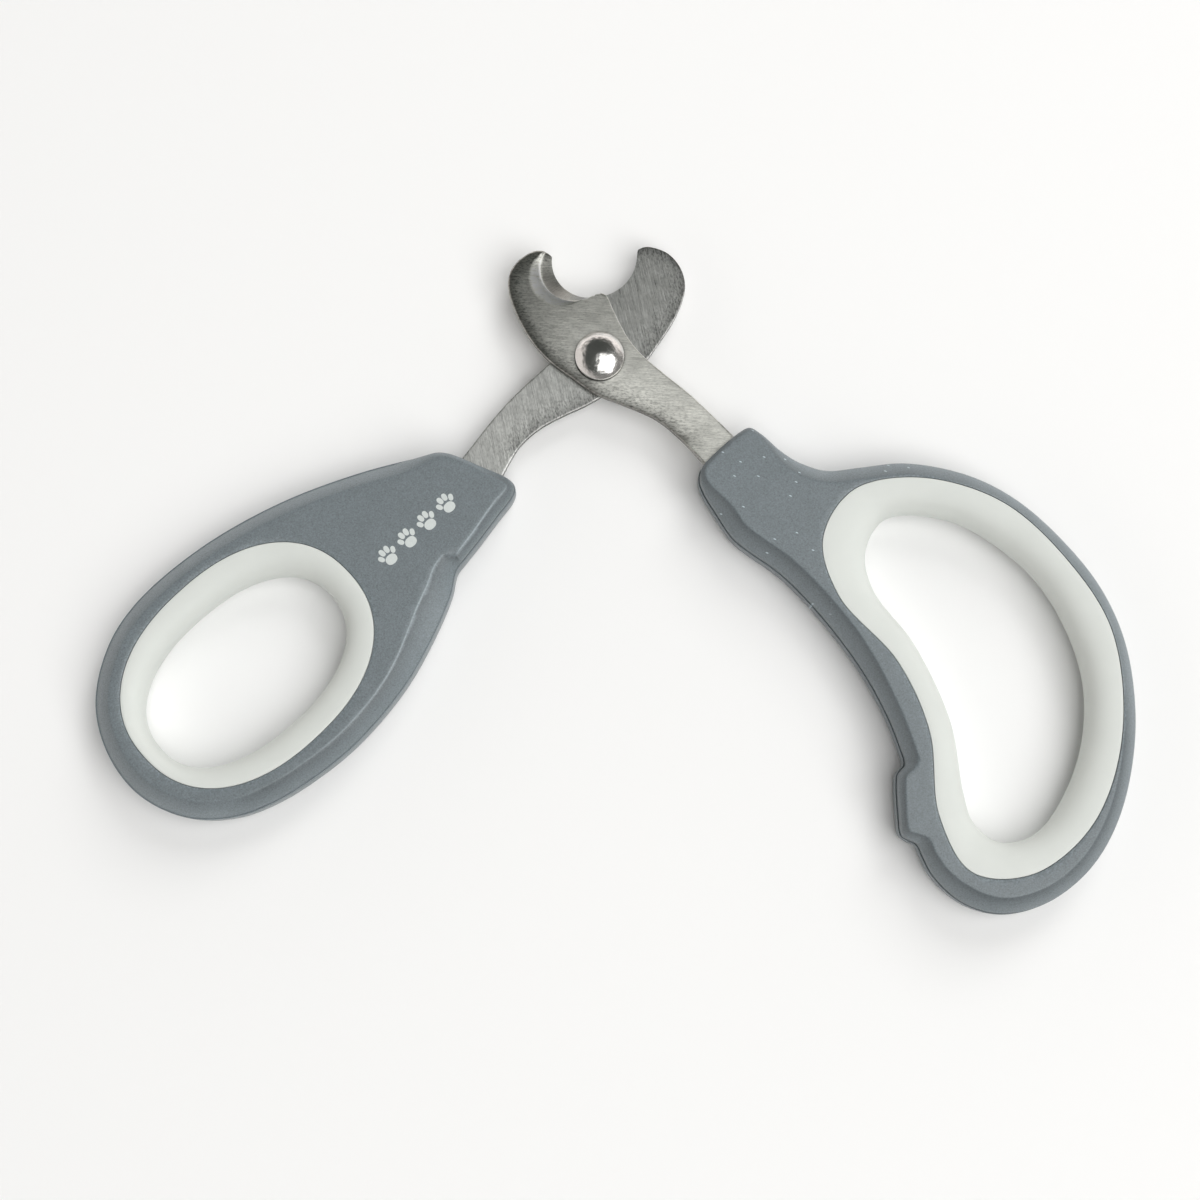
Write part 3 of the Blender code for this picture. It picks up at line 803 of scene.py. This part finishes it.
def make_cap():
    """The flat collar on the back of the rivet."""
    inner = SHANK_RADIUS + 0.06
    round_off = [
        (CAP_RADIUS - 0.35 * (1 - math.sin(a)), BACK_FACE + 0.35 * (1 - math.cos(a)))
        for a in np.linspace(math.pi / 2, 0, 7)
    ]
    profile = [
        (inner, CAP_TOP), (CAP_RADIUS - 0.06, CAP_TOP), (CAP_RADIUS, CAP_TOP - 0.06), *round_off,
        (inner + 0.15, BACK_FACE), (inner, BACK_FACE + 0.12), (inner, CAP_TOP),
    ]
    return lathed("collar", profile)


# Mark on the thumb handle.
def make_mark():
    """A plain row of paw prints, a thin layer on the flat top."""
    heading = math.radians(MARK_HEADING)
    verts, faces = [], []
    for step in MARK_STEPS:
        for centre, half, lean in PADS:
            loop = oval(centre, half, -lean, 40) * MARK_SCALE + (step, 0)
            turned = np.stack([
                loop[:, 0] * math.cos(heading) - loop[:, 1] * math.sin(heading),
                loop[:, 0] * math.sin(heading) + loop[:, 1] * math.cos(heading),
            ], 1) + MARK_CENTRE
            low = len(verts) + np.arange(len(turned))
            high = low + len(turned)
            for height in (HANDLE_TOP - MARK_SUNK, HANDLE_TOP + MARK_PROUD):
                verts += [(x, y, height) for x, y in turned]
            faces += [low, high, *strip(low, high)]
    return mesh_object("handle_mark", np.array(verts, float), faces)


# Materials.
def new_material(name, color, roughness, metallic=0.0):
    """A material whose plain values stand wherever its nodes aren't read."""
    material = bpy.data.materials.new(name)
    material.use_nodes = True
    tree = material.node_tree
    shader = tree.nodes["Principled BSDF"]
    shader.inputs["Base Color"].default_value = (*color, 1)
    shader.inputs["Roughness"].default_value = roughness
    shader.inputs["Metallic"].default_value = metallic
    return material, tree, shader


def feed(tree, socket, value):
    """Links another node's output to the socket, or sets a plain value on it."""
    if isinstance(value, bpy.types.NodeSocket):
        tree.links.new(value, socket)
    else:
        socket.default_value = value


def node(tree, kind, inputs=None, **settings):
    made = tree.nodes.new(kind)
    for key, value in settings.items():
        setattr(made, key, value)
    for key, value in (inputs or {}).items():
        feed(tree, made.inputs[key], value)
    return made


def stretched(tree, angle, scale):
    """Object coordinates turned about Z, then scaled. A scale counts cells to the metre."""
    place = node(tree, "ShaderNodeTexCoord").outputs["Object"]
    turned = node(tree, "ShaderNodeMapping", {"Vector": place, "Rotation": (0, 0, math.radians(angle))})
    return node(tree, "ShaderNodeMapping", {"Vector": turned.outputs[0], "Scale": scale}).outputs[0]


def noise(tree, vector, scale=1.0, detail=4.0, rough=0.55):
    inputs = {"Vector": vector, "Scale": scale, "Detail": detail, "Roughness": rough}
    return node(tree, "ShaderNodeTexNoise", inputs).outputs["Fac"]


def ramp(tree, fac, low, high, dark, light):
    """Maps a factor between two values to a range between two others."""
    inputs = {"Value": fac, "From Min": low, "From Max": high, "To Min": dark, "To Max": light}
    return node(tree, "ShaderNodeMapRange", inputs).outputs["Result"]


def math_node(tree, operation, a, b):
    made = node(tree, "ShaderNodeMath", operation=operation)
    for socket, value in zip(made.inputs, (a, b)):
        feed(tree, socket, value)
    return made.outputs[0]


def multiplied(tree, first, *others):
    for other in others:
        first = math_node(tree, "MULTIPLY", first, other)
    return first


def added(tree, first, *others):
    for other in others:
        first = math_node(tree, "ADD", first, other)
    return first


def mixed(tree, share, a, b):
    """The value a where the share is 0 and b where it is 1."""
    inputs = {"Factor": share, "A": a, "B": b}
    return node(tree, "ShaderNodeMix", inputs, data_type="FLOAT").outputs["Result"]


def attribute(tree, name):
    return node(tree, "ShaderNodeAttribute", attribute_name=name).outputs["Fac"]


def tinted(tree, value, color):
    """The colour multiplied by a grey value."""
    grey = node(tree, "ShaderNodeCombineColor", {"Red": value, "Green": value, "Blue": value})
    inputs = {"Factor": 1, "A": (*color, 1), "B": grey.outputs[0]}
    return node(tree, "ShaderNodeMix", inputs, data_type="RGBA", blend_type="MULTIPLY").outputs["Result"]


def bumped(tree, shader, height, strength, depth):
    bump = node(tree, "ShaderNodeBump", {"Height": height, "Strength": strength, "Distance": depth})
    tree.links.new(bump.outputs[0], shader.inputs["Normal"])


def brushed_lines(tree, angle, line_scale):
    """Straight lines over the flats and, on the ground bevel, lines across its round sweep."""
    fine = noise(tree, stretched(tree, angle, (420, 16000, 420)), rough=0.6)
    broad = noise(tree, stretched(tree, angle, (220, line_scale, 220)), rough=0.6)
    inputs = {"W": attribute(tree, "around"), "Scale": 11.0}
    sweep = node(tree, "ShaderNodeTexNoise", inputs, noise_dimensions="1D").outputs["Fac"]
    straight, round_notch = mixed(tree, 0.4, fine, broad), mixed(tree, 0.5, sweep, 0.5)
    return mixed(tree, attribute(tree, "ground"), straight, round_notch)


def steel_material(name, angle, color, line_scale, satin_painted_light, contrast):
    """Brushed steel: duller towards the handle, darker on bevel and sides, grimy and painted darker along
    the far side.
    """
    material, tree, shader = new_material(name, color, 0.3, 1.0)
    lines = brushed_lines(tree, angle, line_scale)
    spots = noise(tree, stretched(tree, angle, (1800, 3600, 1800)), detail=5.0, rough=0.65)
    cloud = noise(tree, stretched(tree, angle, (450, 700, 450)), detail=5.0, rough=0.6)
    grime_and_shade, crest_highlight = attribute(tree, "grime_and_shade"), attribute(tree, "crest_highlight")
    satin, side = attribute(tree, "satin"), attribute(tree, "side")
    light = multiplied(
        tree,
        ramp(tree, lines, 0.3, 0.7, 1 - contrast, 1 + contrast),
        ramp(tree, cloud, 0.3, 0.7, 0.87, 1.13),
        mixed(tree, ramp(tree, grime_and_shade, 0.02, 0.7, 0.3, 1.4), 1.0, ramp(tree, spots, 0.46, 0.62, 1.08, 0.5)),
        # painted shade: darker along the far side
        ramp(tree, grime_and_shade, 0.2, 1.0, 1.0, 0.55),
        # painted light: the lower blade is drawn lighter towards the handle
        mixed(tree, satin, 1.0, satin_painted_light),
        # painted light: the scoop round the hook is drawn much lighter
        mixed(tree, attribute(tree, "scoop"), 1.0, 1.8),
        # the ground bevel is darker, with painted shade deepening it towards the heel
        mixed(tree, attribute(tree, "ground"), 1.0, mixed(tree, attribute(tree, "heel"), 0.66, 0.27)),
        # painted shadow close round the rivet
        mixed(tree, attribute(tree, "seat"), 1.0, 0.15),
        mixed(tree, side, 1.0, 0.5),
    )
    worn = ramp(tree, attribute(tree, "wear"), 0.8, 1.0, 0.0, 0.15)
    # painted highlight along the crests
    light = added(tree, light, worn, multiplied(tree, crest_highlight, 0.8))
    tree.links.new(tinted(tree, light, color), shader.inputs["Base Color"])
    rough = added(
        tree, ramp(tree, lines, 0.3, 0.7, 0.25, 0.36),
        multiplied(tree, satin, 0.15), multiplied(tree, side, 0.2), multiplied(tree, crest_highlight, 0.35),
    )
    tree.links.new(rough, shader.inputs["Roughness"])
    bumped(tree, shader, lines, 0.4, 0.000008)
    return material


def chrome_material():
    """Polished and softly uneven, with fine scratches."""
    color = (0.70, 0.69, 0.67)
    material, tree, shader = new_material("rivet_chrome", color, 0.1, 1.0)
    smudge = noise(tree, stretched(tree, 0, (330, 330, 330)), detail=2.5)
    scratch = noise(tree, stretched(tree, 35, (400, 14000, 400)), detail=2.0)
    tree.links.new(ramp(tree, smudge, 0.35, 0.75, 0.15, 0.28), shader.inputs["Roughness"])
    light = ramp(tree, scratch, 0.3, 0.7, 0.95, 1.03)
    tree.links.new(tinted(tree, light, color), shader.inputs["Base Color"])
    bumped(tree, shader, smudge, 0.8, 0.0004)
    return material


def light_specks(tree):
    """Small light nicks at the middle of a few cells, where the handle is specked."""
    place = stretched(tree, 20, (320, 860, 400))
    cells = node(tree, "ShaderNodeTexVoronoi", {"Vector": place, "Scale": 1.0}, voronoi_dimensions="2D")
    chosen = node(tree, "ShaderNodeSeparateColor", {"Color": cells.outputs["Color"]}).outputs["Red"]
    return multiplied(
        tree, ramp(tree, cells.outputs["Distance"], 0.05, 0.09, 2.2, 0.0),
        ramp(tree, chosen, 0.82, 0.83, 0.0, 1.0), attribute(tree, "specked"),
    )


def plastic_material():
    """Grained plastic, scuffed along the seam, with a painted highlight on the ridge and painted light and
    shade on the shoulder.
    """
    color = (0.158, 0.185, 0.199)
    material, tree, shader = new_material("handle_plastic", color, 0.45)
    place = stretched(tree, 0, (1, 1, 1))
    grain = noise(tree, place, 4200, 3.0, 0.65)
    cloud = noise(tree, place, 240, 3.0)
    flecks = noise(tree, place, 2600, 2.0)
    plain = multiplied(
        tree, ramp(tree, grain, 0.3, 0.7, 0.78, 1.22), ramp(tree, cloud, 0.3, 0.7, 0.97, 1.03),
        # painted light towards the rim and painted shade under the ridge
        added(tree, attribute(tree, "painted_shading"), 1.0),
    )
    scuffed = multiplied(tree, attribute(tree, "wear"), ramp(tree, flecks, 0.5, 0.64, 0.03, 0.4))
    # painted highlight along the ridge
    shine = multiplied(tree, attribute(tree, "ridge_highlight"), ramp(tree, flecks, 0.35, 0.6, 0.7, 1.1), 0.95)
    light = added(tree, plain, scuffed, light_specks(tree), shine)
    tree.links.new(tinted(tree, light, color), shader.inputs["Base Color"])
    tree.links.new(ramp(tree, grain, 0.3, 0.7, 0.27, 0.40), shader.inputs["Roughness"])
    bumped(tree, shader, grain, 0.8, 0.00006)
    return material


def soft_material():
    color = (0.665, 0.690, 0.662)
    material, tree, shader = new_material("grip_soft", color, 0.55)
    place = stretched(tree, 0, (1, 1, 1))
    cloud = noise(tree, place, 160)
    grain = noise(tree, place, 4200, 2.0)
    light = ramp(tree, cloud, 0.3, 0.7, 0.975, 1.01)
    tree.links.new(tinted(tree, light, color), shader.inputs["Base Color"])
    tree.links.new(ramp(tree, grain, 0.3, 0.7, 0.5, 0.62), shader.inputs["Roughness"])
    bumped(tree, shader, grain, 0.15, 0.00002)
    return material


def mark_material():
    color = (0.62, 0.66, 0.65)
    material, tree, shader = new_material("printed_mark", color, 0.5)
    grain = noise(tree, stretched(tree, 0, (1, 1, 1)), 3800, 3.0)
    light = ramp(tree, grain, 0.3, 0.7, 0.94, 1.02)
    tree.links.new(tinted(tree, light, color), shader.inputs["Base Color"])
    return material


# Stage.
def make_floor():
    mesh = bpy.data.meshes.new("floor")
    shell = bmesh.new()
    bmesh.ops.create_grid(shell, x_segments=1, y_segments=1, size=FLOOR_HALF)
    shell.to_mesh(mesh)
    shell.free()
    floor = bpy.data.objects.new("floor", mesh)
    floor.location.z = FLOOR_HEIGHT - FLOOR_GAP
    bpy.context.scene.collection.objects.link(floor)
    material, _, shader = new_material("floor_white", (FLOOR_GREY, FLOOR_GREY, FLOOR_GREY), 0.9)
    shader.inputs["Specular IOR Level"].default_value = 0.1
    mesh.materials.append(material)


def make_light(name, direction, size, turn, power, mirrored=True):
    """A square lamp that faces the tool. One that isn't mirrored doesn't show in the metal."""
    light = bpy.data.lights.new(name, "AREA")
    light.shape = "RECTANGLE"
    light.size = light.size_y = size
    light.energy = power
    light.color = DAYLIGHT
    lamp = bpy.data.objects.new(name, light)
    lamp.location = Vector(direction).normalized() * LAMP_DISTANCE
    lamp.rotation_mode = "QUATERNION"
    facing = Vector(direction).to_track_quat("Z", "Y")
    lamp.rotation_quaternion = facing @ Quaternion((0, 0, 1), math.radians(turn))
    lamp.visible_glossy = mirrored
    bpy.context.scene.collection.objects.link(lamp)


def make_world():
    """A dim ceiling over light walls, which are lightest on the left and behind the tool."""
    world = bpy.data.worlds.new("studio")
    world.use_nodes = True
    tree = world.node_tree
    back = tree.nodes["Background"]
    way = node(tree, "ShaderNodeTexCoord").outputs["Generated"]
    parts = node(tree, "ShaderNodeSeparateXYZ", {"Vector": way})
    left = ramp(tree, parts.outputs["X"], -0.75, 0.1, 1.0, 0.22)
    behind = ramp(tree, parts.outputs["Y"], 0.2, 0.65, 0.0, 1.0)
    high = added(tree, parts.outputs["Z"], multiplied(tree, behind, 0.22))
    low = ramp(tree, high, 0.42, 0.6, 1.0, 0.0)
    wall = multiplied(tree, low, math_node(tree, "MAXIMUM", left, multiplied(tree, behind, 1.5)))
    inputs = {"Factor": wall, "A": CEILING, "B": WALL}
    blend = node(tree, "ShaderNodeMix", inputs, data_type="RGBA", clamp_factor=False)
    tree.links.new(blend.outputs["Result"], back.inputs["Color"])
    back.inputs["Strength"].default_value = 1.0
    bpy.context.scene.world = world


def make_camera():
    tilt, roll = math.radians(CAMERA_TILT), math.radians(CAMERA_ROLL)
    turn = Matrix.Rotation(roll, 3, "Z")
    look = turn @ Vector((0, math.sin(tilt), -math.cos(tilt)))
    up = turn @ Vector((0, math.cos(tilt), math.sin(tilt)))
    right = look.cross(up)
    aim = Vector((*CAMERA_AIM, MID_HEIGHT)) * MM
    data = bpy.data.cameras.new("camera")
    data.lens = LENS
    data.sensor_width = SENSOR
    data.clip_start = 0.01
    camera = bpy.data.objects.new("camera", data)
    camera.matrix_world = Matrix.Translation(aim - look * CAMERA_DISTANCE * MM) @ Matrix((
        (right.x, up.x, -look.x), (right.y, up.y, -look.y), (right.z, up.z, -look.z),
    )).to_4x4()
    bpy.context.scene.collection.objects.link(camera)
    bpy.context.scene.camera = camera


make_camera()
make_floor()
make_world()
make_light("key", (0.44, -0.27, 0.88), size=2.25, turn=32, power=40)
make_light("back", (0.35, 0.75, 0.6), size=1.0, turn=0, power=15.5, mirrored=False)
make_light("window", (0.75, -0.6, 0.6), size=0.8, turn=30, power=3)
bpy.context.scene.view_settings.view_transform = "Standard"

upper_steel = steel_material(
    "steel_upper", angle=2.6, color=(0.64, 0.64, 0.60), line_scale=7000, satin_painted_light=1.0, contrast=0.4
)
lower_steel = steel_material(
    "steel_lower", angle=75, color=(0.53, 0.536, 0.518), line_scale=5000, satin_painted_light=1.12, contrast=0.48
)
chrome = chrome_material()
plastic = plastic_material()
soft = soft_material()
white = mark_material()

blade = make_blade(
    "upper_blade_ground", UPPER_NOTCH, UPPER_BEVEL, UPPER_SCOOP, UPPER_INNER, UPPER_OUTER, UPPER_TANG, True
)
placed(blade, HALF_TURN, upper_steel, "upper_half", "upper_blade")
blade = make_blade(
    "lower_blade_ground", LOWER_NOTCH, LOWER_BEVEL, LOWER_SCOOP, LOWER_INNER, LOWER_OUTER, LOWER_TANG, False
)
placed(blade, -HALF_TURN, lower_steel, "lower_half", "lower_blade")
placed(make_rivet(), 0, chrome, "lower_half", "pivot_rivet")
placed(make_cap(), 0, chrome, "lower_half", "rivet_cap")

ring, hole = oval(**THUMB_RING, count=240), oval(**THUMB_HOLE, count=240)
handle = make_handle(
    "thumb_handle_shell", THUMB_BODY, ring, LOWER_TANG, -BLADE_TOP, THUMB_PARTING, THUMB_SURFACE
)
placed(handle, -HALF_TURN, plastic, "lower_half", "thumb_handle")
grip = make_grip("thumb_loop_soft", ring, hole)
placed(grip, -HALF_TURN, soft, "lower_half", "thumb_grip")
placed(make_mark(), -HALF_TURN, white, "lower_half")

ring = smooth(FINGER_RING, closed=True, steps=24)
hole = smooth(FINGER_HOLE, closed=True, steps=24)
handle = make_handle(
    "finger_handle_shell", FINGER_BODY, ring, UPPER_TANG, BLADE_FACE, FINGER_PARTING, FINGER_SURFACE
)
placed(handle, HALF_TURN, plastic, "upper_half", "finger_handle")
grip = make_grip("finger_loop_soft", ring, hole)
placed(grip, HALF_TURN, soft, "upper_half", "finger_grip")
